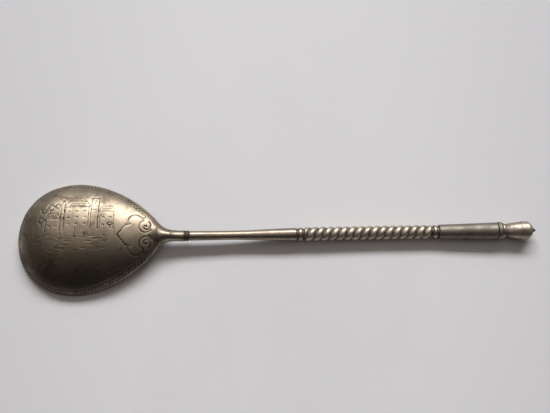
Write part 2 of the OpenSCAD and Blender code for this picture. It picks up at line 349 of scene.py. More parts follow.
def archRow(x, width, height, columns, chamfer):
    # from -Y to +Y, with a chamfered foot at each end; chamfer is signed, inwards for the back
    p = 2 / bowlSize["domePower"]
    rim = rimHeight(x)
    row = []
    for j in range(columns):
        a = math.pi * (j / (columns - 1) - 0.5)
        z = blend(rim, height, max(math.cos(a), 0) ** p)
        row.append([x, width * signedPower(math.sin(a), p), max(z, min(rim + abs(chamfer), height))])
    feet = []
    for end in (row[0], row[-1]):
        inward = Vector((bowlSize["crownAt"] - end[0], -end[1], 0)).normalized() * chamfer
        feet.append([end[0] + inward.x, end[1] + inward.y, rim])
    return [feet[0]] + row + [feet[1]]


def bowlRows():
    c = bowlSize["crownAt"]
    p = 2 / bowlSize["tipPower"]
    outerX = []
    innerX = []
    for i in range(bowlSize["tipRows"] + 1):
        bend = math.cos(math.radians(blend(1.5, 90, i / bowlSize["tipRows"]))) ** p
        outerX.append(c * (1 - bend))
        innerX.append(c - (c - bowlSize["sheet"]) * bend)
    for i in range(1, bowlSize["heelRows"] + 1):
        t = i / bowlSize["heelRows"]
        outerX.append(blend(c, bowlSize["length"], t))
        innerX.append(blend(c, hollowEnd, math.sin(math.radians(87 * t))))
    return outerX, innerX


# Lines cut into the back, drawn in plan: x from the tip, y across

def arcLine(centreX, centreY, radius, fromAngle, toAngle, endRadius=None, steps=28):
    line = []
    for i in range(steps + 1):
        t = i / steps
        a = math.radians(blend(fromAngle, toAngle, t))
        r = blend(radius, radius if endRadius is None else endRadius, t)
        line.append((centreX + r * math.cos(a), centreY + r * math.sin(a)))
    return line


def mirrored(line):
    return [(x, -y) for x, y in line]


borderLook = {
    "innerInset": 1.35,
    "outerInset": 0.45,
    "wriggle": 1.05,  # length of one zigzag
    "endsAt": 35.6,
    "curl": 0.75,
    "step": 0.1,
}


def outlinePath():
    # right round the rim from the heel on +Y past the tip to the heel on -Y, evenly spaced
    crown = bowlSize["crownAt"]
    steps = 450
    sideX = [crown * (1 - math.cos(math.pi / 2 * i / steps)) for i in range(steps)]
    sideX += [blend(crown, borderLook["endsAt"], i / steps) for i in range(steps + 1)]
    side = [Vector((x, halfWidth(x), 0)) for x in sideX]
    whole = side[::-1] + [Vector((p.x, -p.y, 0)) for p in side[1:]]
    step = borderLook["step"]
    even = [whole[0]]
    for p in whole[1:]:
        while (p - even[-1]).length > step:
            even.append(even[-1] + (p - even[-1]).normalized() * step)
    return even


outline = outlinePath()


def insetLine(depthAt):
    line = []
    for i in range(1, len(outline) - 1):
        along = (outline[i + 1] - outline[i - 1]).normalized()
        inward = Vector((-along.y, along.x, 0))
        p = outline[i] + inward * depthAt(i * borderLook["step"])
        line.append((p.x, p.y))
    return line


def borderLines():
    low = borderLook["outerInset"]
    high = borderLook["innerInset"]

    def wriggleDepth(s):
        phase = (s / borderLook["wriggle"]) % 1.0
        return blend(low + 0.08, high - 0.08, 1 - abs(2 * phase - 1))

    lines = [(insetLine(lambda s: high), 1.0)]
    lines += [(insetLine(lambda s: low), 0.9), (insetLine(wriggleDepth), 0.9)]
    endX, endY = lines[0][0][0]
    r = borderLook["curl"]
    curl = arcLine(endX + 0.1, endY - r, r, 90, -210, 0.25)
    lines += [(curl, 1.0), (mirrored(curl), 1.0)]
    return lines


cartoucheLook = {
    "shift": 0.25,  # along the bowl
    "tip": 28.0,
    "voluteAt": (35.15, 2.2),
    "voluteRadius": 1.62,
    "weight": 1.8,
}


def cartoucheLines():
    centreX, centreY = cartoucheLook["voluteAt"]
    r = cartoucheLook["voluteRadius"]
    half = [
        [(cartoucheLook["tip"], 0.0), (28.9, 1.15), (29.9, 2.35), (30.6, 2.8)],
        [(30.0, 2.75), (30.9, 2.7), (31.3, 2.95)],
        arcLine(32.65, 3.45, 1.95, 195, 62),
        [(33.55, 5.2), (34.35, 4.55), (34.5, 3.75), (34.0, 3.3)],
        [(34.4, 4.5), (35.0, 4.65)],
        arcLine(centreX, centreY, r, 105, 330, r * 1.02),
        arcLine(centreX, centreY, r, 60, -150, 0.45),
        [(centreX - 0.35, centreY + 0.1), (centreX + 0.1, centreY + 0.35), (centreX + 0.4, centreY - 0.05)],
    ]
    weight = cartoucheLook["weight"]
    lines = [([(x + cartoucheLook["shift"], y) for x, y in line], weight) for line in half]
    return lines + [(mirrored(line), weight) for line, weight in lines]


townLook = {
    "seed": 7,
    "waver": 0.11,  # how far the cutter's hand strays
    "waverLength": 0.9,
    "cutStep": 0.06,
    "ground": 0.4,
}


def houseLines(left, right, floor, eaves, ridge, windowRows):
    # a hipped roof with rows of tiles, two walls, and rows of small windows
    inset = (right - left) * 0.16
    roof = [(left - 0.3, eaves), (left + inset, ridge), (right - inset, ridge), (right + 0.3, eaves)]
    lines = [roof + [roof[0]], [(left, eaves), (left, floor)], [(right, eaves), (right, floor)]]
    tileRows = 3
    for i in range(tileRows):
        y = blend(eaves, ridge, (i + 0.6) / (tileRows + 0.4))
        lines.append([(left + inset * 0.9, y), (right - inset * 0.9, y)])
    for i in range(windowRows):
        y = blend(eaves, floor, (i + 0.7) / (windowRows + 0.3))
        count = max(2, int((right - left) / 1.7))
        for k in range(count):
            x = blend(left, right, (k + 0.5) / count)
            lines.append([(x - 0.33, y), (x + 0.33, y), (x + 0.3, y - 0.35)])
    return lines


def towerLines(left, right, floor, top, apex):
    middle = (left + right) / 2
    lines = [[(left, floor), (left, top)], [(right, floor), (right, top)]]
    lines.append([(left - 0.3, top), (right + 0.3, top)])
    lines.append([(left - 0.1, top), (middle, apex), (right + 0.1, top)])
    lines.append([(middle, top - 0.6), (middle, top - 1.7)])
    lines.append([(left, blend(floor, top, 0.62)), (right, blend(floor, top, 0.62))])
    return lines


def treeLines(x, y, radius, rng):
    # a crown scribbled twice round, and a trunk
    line = []
    for i in range(26):
        a = math.radians(i * 360 / 13)
        r = radius * rng.uniform(0.45, 1.0)
        line.append((x + r * math.cos(a), y + r * 0.85 * math.sin(a)))
    return [line, [(x, y - radius * 0.6), (x + 0.1, y - radius * 1.6)]]


def townLines():
    rng = random.Random(townLook["seed"])
    ground = townLook["ground"]
    lines = []
    lines += houseLines(14.3, 20.6, 2.2, 7.9, 9.9, 3)
    lines += houseLines(23.6, 27.2, 1.5, 6.4, 8.2, 2)
    lines += houseLines(9.2, 12.9, 1.0, 4.7, 6.3, 1)
    lines += towerLines(21.2, 23.1, 1.6, 10.4, 12.1)
    lines += towerLines(13.2, 14.1, 1.2, 8.6, 10.0)
    trees = ((7.9, 4.4, 1.2), (10.2, 7.9, 1.3), (12.2, 8.3, 0.9), (26.3, 3.0, 0.8), (8.4, 7.0, 0.9))
    for x, y, radius in trees:
        lines += treeLines(x, y, radius, rng)
    # posts and boats
    for x in (6.3, 6.75):
        lines.append([(x, 3.1), (x, -2.1)])
    for x in (17.2, 24.9, 27.6):
        lines.append([(x, 2.0), (x, ground - 0.9)])
    for x, y, length in ((12.6, -0.4, 1.9), (12.2, -2.9, 2.3), (19.0, -0.2, 1.6)):
        lines.append([(x, y), (x + 0.3, y - 0.4), (x + length - 0.3, y - 0.4), (x + length, y)])
        lines.append([(x + length * 0.45, y - 0.3), (x + length * 0.45, y + 1.1)])
    # ripples on the water, thinning out towards the viewer
    y = ground
    for row in range(7):
        x = 6.5 + rng.uniform(0, 3)
        while x < 25:
            length = rng.uniform(0.5, 2.6)
            slope = rng.uniform(-0.15, 0.15)
            lines.append([(x, y + rng.uniform(-0.2, 0.2)), (x + length, y + slope)])
            x += length + rng.uniform(1.0, 4.5)
        y -= rng.uniform(0.5, 0.9)
    return [(line, rng.uniform(0.6, 1.1)) for line in lines]


def cutPoints(lines):
    # the lines as close points on the dome, with each point's weight
    waver = townLook["waver"]
    points = []
    for line, weight in lines:
        for a, b in zip(line, line[1:]):
            steps = max(1, round(math.dist(a, b) / townLook["cutStep"]))
            for i in range(steps):
                x = blend(a[0], b[0], i / steps)
                y = blend(a[1], b[1], i / steps)
                x += waver * softNoise((x, y, 0), townLook["waverLength"], 3)
                y += waver * softNoise((x, y, 5), townLook["waverLength"], 8)
                points.append((Vector((x, y, domeHeight(x, y))), weight))
    return points


def nearestIn(points):
    tree = KDTree(len(points))
    for i, point in enumerate(points):
        tree.insert(point, i)
    tree.balance()
    return tree


cutLook = {
    "blackWithin": 0.04,
    "clearBeyond": 0.17,
    "wearScale": 0.5,
    "wornShare": 0.35,
    "deepShare": 0.9,
}


def engravedGroove(tree, coords):
    gap = attributeValue(tree, "lineGap")
    line = spread(tree, gap, cutLook["blackWithin"], cutLook["clearBeyond"], 1.0, 0.0)
    worn = noisePattern(tree, coords, cutLook["wearScale"], 4, 0.6)
    share = spread(tree, worn, 0.36, 0.6, cutLook["wornShare"], cutLook["deepShare"])
    return combine(tree, "MULTIPLY", line, share)


bowlFinish = plainFinish | {
    "tint": (1.18, 1.15, 1.09),
    "cloudScale": 0.16,
    "contrast": 0.16,
    "dullShare": 1.0,
    "stainScale": 0.2,
    "stainFrom": 0.52,
    "speckShare": 0.45,
    "roughness": 0.43,
    "rubbed": (0.35, 6.0, 2.0),
    "scratchDepth": 0.7,
    "relief": 0.018,
    "groove": engravedGroove,
}


bowlWear = {
    "edgeWidth": 0.35,
    "edgeOver": 0.5,  # height over the rim where its wear is full
    "edgeShare": 0.6,
    "burrAt": 0.26,  # beside each cut line
    "burrWidth": 0.12,
    "burrShare": 0.55,
    "paintedShadeFrom": -1.0,  # where the painted shade on the -Y side begins
    "paintedShadeReach": 13.0,
    "paintedShadeAmount": 0.92,
}


def bowlMarks(place, inner):
    # for each point of the back: how near it is to a cut line, how bare it is, and how much painted shade
    # it gets
    lines = cutPoints(borderLines() + cartoucheLines() + townLines())
    nearestLine = nearestIn([p for p, weight in lines])
    nearestEdge = nearestIn(outline)
    lineGap = [1.0] * len(place)
    ridge = [0.0] * len(place)
    under = [0.0] * len(place)
    for i in range(inner):
        p = place[i]
        found, index, distance = nearestLine.find(p)
        lineGap[i] = min(distance / lines[index][1], 1.0)
        edge = clamp(1 - nearestEdge.find(Vector((p.x, p.y, 0)))[2] / bowlWear["edgeWidth"])
        edge *= clamp((p.z - rimHeight(p.x)) / bowlWear["edgeOver"]) * bowlWear["edgeShare"]
        burr = clamp(1 - abs(lineGap[i] - bowlWear["burrAt"]) / bowlWear["burrWidth"])
        ridge[i] = max(edge, burr * bowlWear["burrShare"])
        # painted shade, growing towards -Y, the side away from the window
        low = ease(clamp((bowlWear["paintedShadeFrom"] - p.y) / bowlWear["paintedShadeReach"]))
        under[i] = low * bowlWear["paintedShadeAmount"]
    return {"lineGap": lineGap, "ridge": ridge, "under": under}


def dented(place, inner, columns, lineGap):
    # slight dents all over the back, and a groove along each cut line
    moved = list(place)
    for i in range(inner):
        row, column = divmod(i, columns)
        if column in (0, 1, columns - 2, columns - 1) or row == 0:
            continue
        across = place[i + 1] - place[i - 1]
        along = place[min(i + columns, inner - 1)] - place[i - columns]
        normal = along.cross(across)
        if normal.length < 1e-9:
            continue
        normal.normalize()
        dent = softNoise(place[i], bowlSize["longDents"], 4) * 0.6
        dent += softNoise(place[i], bowlSize["shortDents"], 9) * 0.22
        over = place[i].z - rimHeight(place[i].x)
        calm = clamp(over / 1.5) * clamp((bowlSize["length"] - place[i].x) / 2)
        cut = clamp(1 - lineGap[i] / bowlSize["cutWidth"])
        moved[i] = place[i] + normal * (dent * bowlSize["dents"] * calm - cut * bowlSize["cutDepth"])
    return moved


def buildBowl():
    outerX, innerX = bowlRows()
    rows = len(outerX)
    outerColumns = bowlSize["outerColumns"] + 2
    innerColumns = bowlSize["innerColumns"] + 2
    chamfer = bowlSize["rimChamfer"]
    points = []
    for x in outerX:
        points += archRow(x, halfWidth(x), backHeight(x), bowlSize["outerColumns"], chamfer)
    inner = len(points)
    for x in innerX:
        width, height = hollowSection(x)
        points += archRow(x, width, height, bowlSize["innerColumns"], -chamfer)
    place = [Vector(p) for p in points]
    marks = bowlMarks(place, inner)
    place = dented(place, inner, outerColumns, marks["lineGap"])
    points = [p + Vector((tipX, 0, 0)) for p in place]
    # back, hollow, the rim between them, and the ends
    faces = gridFaces(rows, outerColumns)
    faces += gridFaces(rows, innerColumns, inner, turned=True)
    lastOuter = (rows - 1) * outerColumns
    lastInner = inner + (rows - 1) * innerColumns
    for i in range(rows - 1):
        a = i * outerColumns
        b = inner + i * innerColumns
        faces.append((a, a + outerColumns, b + innerColumns, b))
        a += outerColumns - 1
        b += innerColumns - 1
        faces.append((a, b, b + innerColumns, a + outerColumns))
    faces.append(tuple(range(outerColumns - 1, -1, -1)))
    faces.append(tuple(range(lastOuter, lastOuter + outerColumns)))
    faces.append(tuple(range(inner, inner + innerColumns)))
    faces.append(tuple(range(lastInner + innerColumns - 1, lastInner - 1, -1)))
    faces.append((0, inner, inner + innerColumns - 1, outerColumns - 1))
    faces.append((lastOuter, lastOuter + outerColumns - 1, lastInner + innerColumns - 1, lastInner))
    finish = silverFinish("bowlSilver", bowlFinish)
    makePiece("bowlShell", points, faces, finish, ["bowl"], marks, 40)


buildBowl()


# The handle's own line, from the middle of the neck collar to the middle of the finial's collar

def middleOf(node):
    low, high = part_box(node)
    return (low + high) / 2 / mm


axisStart = middleOf("neck_collar")
axisWay = (middleOf("finial_collar") - axisStart).normalized()
acrossWay = Vector((0, 0, 1)).cross(axisWay).normalized()
upWay = axisWay.cross(acrossWay)

handleLook = {
    "sideways": 0.35,  # how far the stem's lower end stands to the right of the straight line
    "straightFrom": 65.0,
    "sag": 0.65,
    "sagFrom": 5.0,
    "sagTo": 89.0,
}


def handlePoint(s, radius, angle):
    # bent by hand: a little sideways near the neck, and sagging in the middle
    aside = handleLook["sideways"] * (1 - ease(clamp(s / handleLook["straightFrom"])))
    share = clamp((s - handleLook["sagFrom"]) / (handleLook["sagTo"] - handleLook["sagFrom"]))
    middle = axisStart + axisWay * s - Vector((0, aside, handleLook["sag"] * math.sin(math.pi * share)))
    return middle + (acrossWay * math.cos(angle) + upWay * math.sin(angle)) * radius


def spanOf(node):
    steps = [(v.co / mm - axisStart).dot(axisWay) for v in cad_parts[node].data.vertices]
    return min(steps), max(steps)


collarSpan = spanOf("neck_collar")
lowRingSpan = spanOf("lower_ring")
highRingSpan = spanOf("upper_ring")
beadSpan = spanOf("finial_bead")
washerSpan = spanOf("finial_collar")
crownSpan = spanOf("finial_crown")
capSpan = spanOf("finial_cap")
pinSpan = spanOf("finial_pin")
stemSpan = (collarSpan[1], lowRingSpan[0])
twistSpan = (lowRingSpan[1], highRingSpan[0])
gripSpan = (highRingSpan[1], beadSpan[0])
coreRadius = 0.75  # where the end faces of the turned pieces close, inside the next piece


def roundedProfile(corners, longest=0.4):
    # corners are (s, radius, rounding, groove, ridge)
    line = []
    for i, (s, r, rounding, groove, ridge) in enumerate(corners):
        here = Vector((s, r, groove, ridge))
        if i in (0, len(corners) - 1) or rounding == 0:
            line.append(here)
            continue
        before = Vector((corners[i - 1][0], corners[i - 1][1], 0, 0))
        after = Vector((corners[i + 1][0], corners[i + 1][1], 0, 0))
        flat = Vector((s, r, 0, 0))
        fromBefore = before - flat
        toAfter = after - flat
        start = here + fromBefore.normalized() * min(rounding, fromBefore.length * 0.48)
        end = here + toAfter.normalized() * min(rounding, toAfter.length * 0.48)
        for k in range(5):
            t = k / 4
            line.append(start * (1 - t) ** 2 + here * 2 * t * (1 - t) + end * t * t)
    filled = [line[0]]
    for p in line[1:]:
        gap = Vector((p[0] - filled[-1][0], p[1] - filled[-1][1])).length
        steps = max(1, math.ceil(gap / longest))
        last = filled[-1]
        filled += [last.lerp(p, (k + 1) / steps) for k in range(steps)]
    return filled


# painted shade round the handle, set by height on the round
underLook = {
    "from": 0.42,  # height on the round, 1 on top
    "reach": 0.55,
}


def underShare(angle):
    # painted shade: 0 on top, rising down the sides to 1 underneath
    return ease(clamp((underLook["from"] - math.sin(angle)) / underLook["reach"]))


def turnPiece(name, node, finish, profile, sides=72, wobble=0.012, shape=None):
    # profile points are (s, radius, groove, ridge); shape may change the radius at an angle
    points = []
    grooves = []
    ridges = []
    unders = []
    for s, r, groove, ridge in profile:
        for k in range(sides):
            a = 2 * math.pi * k / sides
            # painted shade underneath
            unders.append(underShare(a))
            radius = r if shape is None else r + shape(s, a)
            p = handlePoint(s, radius, a)
            if radius > 0.8:
                p = handlePoint(s, radius + wobble * softNoise(p, 2.6, 6), a)
            points.append(p)
            grooves.append(groove)
            ridges.append(ridge)
    rows = len(profile)
    faces = gridFaces(rows, sides, closed=True, turned=True)
    faces.append(tuple(range(sides)))
    faces.append(tuple(range(rows * sides - 1, (rows - 1) * sides - 1, -1)))
    values = {"groove": grooves, "ridge": ridges, "under": unders}
    makePiece(name, points, faces, finish, [node], values)


# The neck: a tongue lapped onto the bowl's back, narrowing to a round end

neckSize = {
    "length": 6.9,
    "endWidth": 2.9,
    "axisHeight": (axisStart + axisWay * collarSpan[0]).z,
    "tongueLength": 2.7,
    "tongueThickness": 0.45,
    "tongueWidth": 0.46,  # half of it, as a share of the joint
    "tonguePoint": 0.06,  # share of its width at the point
    "tongueSpread": 1.4,
    "tongueRound": 0.45,
    "tongueSunk": 0.12,
    "footHeight": 0.3,
    "flare": 4,
    "sides": 80,
    "tongueRows": 26,
    "neckRows": 44,
    "wobble": 0.03,
}
neckWear = {
    "lipFrom": 0.8,  # share of the tongue's half width
    "lipReach": 0.15,
    "tongueSoot": 0.45,
    "shoulderSoot": 0.3,
    "collarSoot": 0.5,
    "bare": 0.15,
}
neckFinish = plainFinish | {
    "tint": (1.05, 1.02, 1.0),
    "stainFrom": 0.5,
    "roughness": 0.4,
}


def tongueLoop(x):
    # pointed at the bowl's end, lying on the back, with its underside sunk into it
    t = clamp((x - bowlSize["length"] + neckSize["tongueLength"]) / neckSize["tongueLength"])
    width = blend(neckSize["tonguePoint"], 1, t ** neckSize["tongueSpread"])
    width *= bowlSize["jointWidth"] * neckSize["tongueWidth"]
    thickness = neckSize["tongueThickness"] * blend(0.35, 1, t)
    loop = []
    for k in range(neckSize["sides"]):
        a = 2 * math.pi * k / neckSize["sides"]
        y = width * math.cos(a)
        seat = domeHeight(min(x, bowlSize["length"]), y)
        crest = thickness * (1 - neckSize["tongueRound"] * (y / width) ** 2)
        edge = clamp(abs(math.sin(a)) * 3)
        over = crest * edge if math.sin(a) > 0 else -neckSize["tongueSunk"]
        loop.append(Vector((x, y, seat + over)))
    return loop


def neckLoop(t, turn, lean):
    # from the bowl's own section at 0 to a round one at 1, turned and leaned to the handle's line
    joint = bowlSize["jointWidth"]
    endR = neckSize["endWidth"] / 2
    level = neckSize["axisHeight"]
    half = blend(joint, 2 * endR, 1 - (1 - t) ** neckSize["flare"]) / 2
    middle = blend(bowlSize["heelRise"] + neckSize["footHeight"], level, ease(t))
    top = blend(bowlSize["jointHeight"] + neckSize["tongueThickness"], level + endR, ease(t)) - middle
    low = blend(neckSize["footHeight"], endR, ease(t))
    power = blend(2 / bowlSize["domePower"], 1, t)
    turned = -turn * ease(t)
    leaned = lean * ease(t)
    loop = []
    for k in range(neckSize["sides"]):
        a = 2 * math.pi * k / neckSize["sides"]
        y = half * signedPower(math.cos(a), power)
        z = (top if math.sin(a) > 0 else low) * signedPower(math.sin(a), power)
        x = bowlSize["length"] + neckSize["length"] * t + z * math.sin(leaned) - y * math.sin(turned)
        y = y * math.cos(turned) - handleLook["sideways"] * ease(t)
        loop.append(Vector((x, y, middle + z * math.cos(leaned))))
    return loop


def buildNeck():
    turn = math.atan2(-axisWay.y, axisWay.x)
    lean = math.asin(-axisWay.z)
    loops = []
    grooves = []
    ridges = []
    unders = []
    start = bowlSize["length"] - neckSize["tongueLength"]
    for i in range(neckSize["tongueRows"]):
        t = i / neckSize["tongueRows"]
        loops.append(tongueLoop(blend(start, bowlSize["length"], t)))
        for k in range(neckSize["sides"]):
            edge = abs(math.cos(2 * math.pi * k / neckSize["sides"]))
            lip = clamp((edge - neckWear["lipFrom"]) / neckWear["lipReach"])
            ridges.append(lip)
            grooves.append((1 - lip) * neckWear["tongueSoot"])
            unders.append(0.0)
    for i in range(neckSize["neckRows"] + 1):
        t = i / neckSize["neckRows"]
        loops.append(neckLoop(t, turn, lean))
        for k in range(neckSize["sides"]):
            soot = clamp((t - 0.93) / 0.07) * neckWear["collarSoot"]
            grooves.append(soot + (1 - clamp(t / 0.25)) * neckWear["shoulderSoot"])
            ridges.append(neckWear["bare"])
            # painted shade underneath
            unders.append(underShare(2 * math.pi * k / neckSize["sides"]))
    points = []
    for loop in loops:
        for p in loop:
            wave = neckSize["wobble"] * softNoise(p, 2.4, 2) * clamp(p.z / 1.5)
            points.append(p + Vector((tipX, 0, wave)))
    rows = len(loops)
    sides = neckSize["sides"]
    faces = gridFaces(rows, sides, closed=True, turned=True)
    faces.append(tuple(range(sides)))
    faces.append(tuple(range(rows * sides - 1, (rows - 1) * sides - 1, -1)))
    values = {"groove": grooves, "ridge": ridges, "under": unders}
    finish = silverFinish("neckSilver", neckFinish)
    makePiece("neckShoulder", points, faces, finish, ["neck"], values, 55)
    # the dowel stays as it is inside the joint, in the same silver
    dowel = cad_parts["neck_dowel"]
    dowel.data.materials.clear()
    dowel.data.materials.append(silverFinish("dowelSilver", plainFinish))


buildNeck()


# Turned parts of the stem

stemSize = {
    "collarRadius": 1.425,
    "lowRadius": 1.3,
    "waistRadius": 1.225,
    "highRadius": 1.7,
    "waistAt": 0.38,
    "rounding": 0.15,
}
collarFinish = plainFinish | {
    "tint": (1.1, 1.0, 1.0),
    "stainFrom": 0.45,
    "roughness": 0.42,
}
stemFinish = plainFinish | {
    "cloudScale": 0.3,
    "underShare": 0.6,
    "stainFrom": 0.58,
    "roughness": 0.4,
}


def buildCollar():
    s0, s1 = collarSpan
    r = stemSize["collarRadius"]
    corners = [(s0, coreRadius, 0, 0.4, 0), (s0, r - 0.15, 0.05, 0.6, 0), (s0 + 0.22, r, 0.1, 0.2, 0.2)]
    for share in (0.36, 0.68):
        s = blend(s0, s1, share)
        corners += [(s - 0.1, r, 0.05, 0.3, 0), (s, r - 0.12, 0.04, 0.9, 0), (s + 0.1, r, 0.05, 0.3, 0)]
    corners += [(s1 - 0.22, r, 0.1, 0.2, 0.2), (s1, r - 0.15, 0.05, 0.6, 0), (s1, coreRadius, 0, 0.4, 0)]
    finish = silverFinish("collarSilver", collarFinish)
    turnPiece("neckCollar", "neck_collar", finish, roundedProfile(corners, 0.2))


def stemRadius(t):
    low, waist, high = stemSize["lowRadius"], stemSize["waistRadius"], stemSize["highRadius"]
    at = stemSize["waistAt"]
    if t < at:
        return blend(low, waist, ease(t / at))
    return blend(waist, high, ease((t - at) / (1 - at)))


def buildStem():
    s0, s1 = stemSpan
    profile = [Vector((s0, coreRadius, 0.4, 0))]
    steps = 110
    for i in range(steps + 1):
        t = i / steps
        s = blend(s0, s1, t)
        fromEnd = min(s - s0, s1 - s)
        shrink = stemSize["rounding"] * (1 - clamp(fromEnd / 0.3)) ** 2
        profile.append(Vector((s, stemRadius(t) - shrink, 0.7 * (1 - clamp(fromEnd / 0.25)), 0.25)))
    profile.append(Vector((s1, coreRadius, 0.4, 0)))
    finish = silverFinish("stemSilver", stemFinish)
    turnPiece("plainStem", "lower_stem", finish, profile, wobble=0.02)


ringSize = {
    "radius": 1.825,
    "grooveDepth": 0.32,
    "grooveWidth": 0.45,
}

ringSilver = silverFinish("ringSilver", plainFinish | {
    "tint": (1.3, 1.3, 1.36),
    "cloudScale": 0.8,
    "stainFrom": 0.6,
    "roughness": 0.4,
})


def buildRing(name, node, span):
    s0, s1 = span
    low = ringSize["radius"] - ringSize["grooveDepth"]
    width = ringSize["grooveWidth"]
    beadHalf = (s1 - s0) / 2 - width
    middle = (s0 + s1) / 2
    profile = [Vector((s0, coreRadius, 1, 0)), Vector((s0, low, 0.7, 0))]
    profile.append(Vector((s0 + width * 0.6, low, 0.6, 0)))
    for i in range(15):
        a = math.pi * i / 14
        rise = math.sin(a)
        r = low + ringSize["grooveDepth"] * rise ** 0.8
        soot = 0.6 * (1 - clamp(rise * 1.6))
        profile.append(Vector((middle - beadHalf * math.cos(a), r, soot, rise ** 4)))
    profile.append(Vector((s1 - width * 0.6, low, 0.6, 0)))
    profile += [Vector((s1, low, 0.7, 0)), Vector((s1, coreRadius, 1, 0))]
    turnPiece(name, node, ringSilver, profile, wobble=0.01)


buildCollar()
buildStem()
buildRing("lowerRing", "lower_ring", lowRingSpan)
buildRing("upperRing", "upper_ring", highRingSpan)


# The twist: two strands wound to the left round the stem

twistSize = {
    "radius": 1.875,
    "groove": 0.37,
    "sharpness": 3.8,  # higher for broad strands and narrow grooves
    "lead": 4.2,
    "firstAngle": 90,
    "sides": 100,
    "step": 0.115,
    "rounding": 0.35,
}
twistFinish = plainFinish | {
    "tint": (1.7, 1.7, 1.76),
    "cloudScale": 0.6,
    "underShare": 0.6,
    "stainFrom": 0.6,
    "roughness": 0.5,
}


def buildTwist():
    s0, s1 = twistSpan
    outer = twistSize["radius"]
    rows = round((s1 - s0) / twistSize["step"])
    sides = twistSize["sides"]
    points = []
    grooves = []
    ridges = []
    unders = []
    for i in range(rows + 1):
        s = blend(s0, s1, i / rows)
        fromEnd = min(s - s0, s1 - s)
        shrink = twistSize["rounding"] * (1 - clamp(fromEnd / 0.4)) ** 2
        strand = math.radians(twistSize["firstAngle"]) - 2 * math.pi * (s - s0) / twistSize["lead"]
        for k in range(sides):
            a = 2 * math.pi * k / sides
            depth = abs(math.sin(a - strand)) ** twistSize["sharpness"]
            r = outer - twistSize["groove"] * depth
            p = handlePoint(s, r, a)
            r += 0.03 * softNoise(p, 1.3, 7) * (1 - depth) - shrink
            points.append(handlePoint(s, r, a))
            # painted shade underneath, a little lighter on the twist
            unders.append(underShare(a) * 0.8)
            grooves.append(clamp(depth ** 3 * 0.75 + (1 - clamp(fromEnd / 0.3)) * 0.6))
            ridges.append(clamp(1 - depth * 2.4) * 0.8)
    faces = gridFaces(rows + 1, sides, closed=True, turned=True)
    faces.append(tuple(range(sides)))
    faces.append(tuple(range((rows + 1) * sides - 1, rows * sides - 1, -1)))
    values = {"groove": grooves, "ridge": ridges, "under": unders}
    finish = silverFinish("twistSilver", twistFinish)
    makePiece("twistedStem", points, faces, finish, ["twisted_stem"], values, 60)


buildTwist()


# The grip and the finial

gripSize = {
    "lowRadius": 1.9,
    "highRadius": 2.25,
    "endRounding": 0.22,
}
gripSilver = silverFinish("gripSilver", plainFinish | {
    "tint": (0.86, 0.89, 0.96),
    "cloudScale": 0.32,
    "underShare": 0.5,
    "stainFrom": 0.58,
    "roughness": 0.55,
    "relief": 0.03,
})


def buildGrip():
    s0, s1 = gripSpan
    r0, r1 = gripSize["lowRadius"], gripSize["highRadius"]
    edge = gripSize["endRounding"]
    corners = [(s0, coreRadius, 0, 0.6, 0), (s0, r0 - 0.22, 0.08, 0.8, 0), (s0 + edge, r0, 0.2, 0.1, 0.7)]
    corners += [(blend(s0, s1, 0.5), (r0 + r1) / 2, 1.0, 0, 0.05)]
    corners += [(s1 - edge, r1, 0.2, 0.0, 0.4), (s1, r1 - 0.2, 0.08, 0.8, 0), (s1, coreRadius, 0, 0.6, 0)]
    profile = roundedProfile(corners)
    turnPiece("gripBarrel", "grip", gripSilver, profile, sides=96, wobble=0.035)



finialSize = {
    "beadRadius": 2.375,
    "washerRadius": 2.1,
    "footRadius": 1.725,
    "rimRadius": 2.525,
    "capRadius": 2.05,
    "pinRadius": 0.475,
    "flutes": 10,
    "fluteDepth": 0.035,
}
finialFinish = plainFinish | {
    "tint": (1.45, 1.44, 1.5),
    "cloudScale": 0.7,
    "stainFrom": 0.57,
    "roughness": 0.46,
    "relief": 0.05,
}


def buildBead():
    s0, s1 = beadSpan
    core = gripSize["highRadius"] - 0.1
    rise = finialSize["beadRadius"] - core
    profile = [Vector((s0, coreRadius, 1, 0))]
    for i in range(17):
        a = math.pi * i / 16
        s = blend(s0, s1, (1 - math.cos(a)) / 2)
        soot = 0.9 * clamp((1 - math.sin(a)) * 2 - 0.9)
        profile.append(Vector((s, core + rise * math.sin(a), soot, math.sin(a) ** 4 * 0.6)))
    profile.append(Vector((s1, coreRadius, 1, 0)))
    turnPiece("finialBead", "finial_bead", gripSilver, profile, sides=96)
    s0, s1 = washerSpan
    r = finialSize["washerRadius"]
    corners = [(s0, coreRadius, 0, 1, 0), (s0, r - 0.12, 0.04, 0.8, 0), (s0 + 0.15, r, 0.08, 0, 0.8)]
    corners += [(s1 - 0.15, r, 0.08, 0, 0.8), (s1, r - 0.12, 0.04, 0.6, 0), (s1, coreRadius, 0, 1, 0)]
    profile = roundedProfile(corners, 0.15)
    turnPiece("finialWasher", "finial_collar", ringSilver, profile, sides=96)


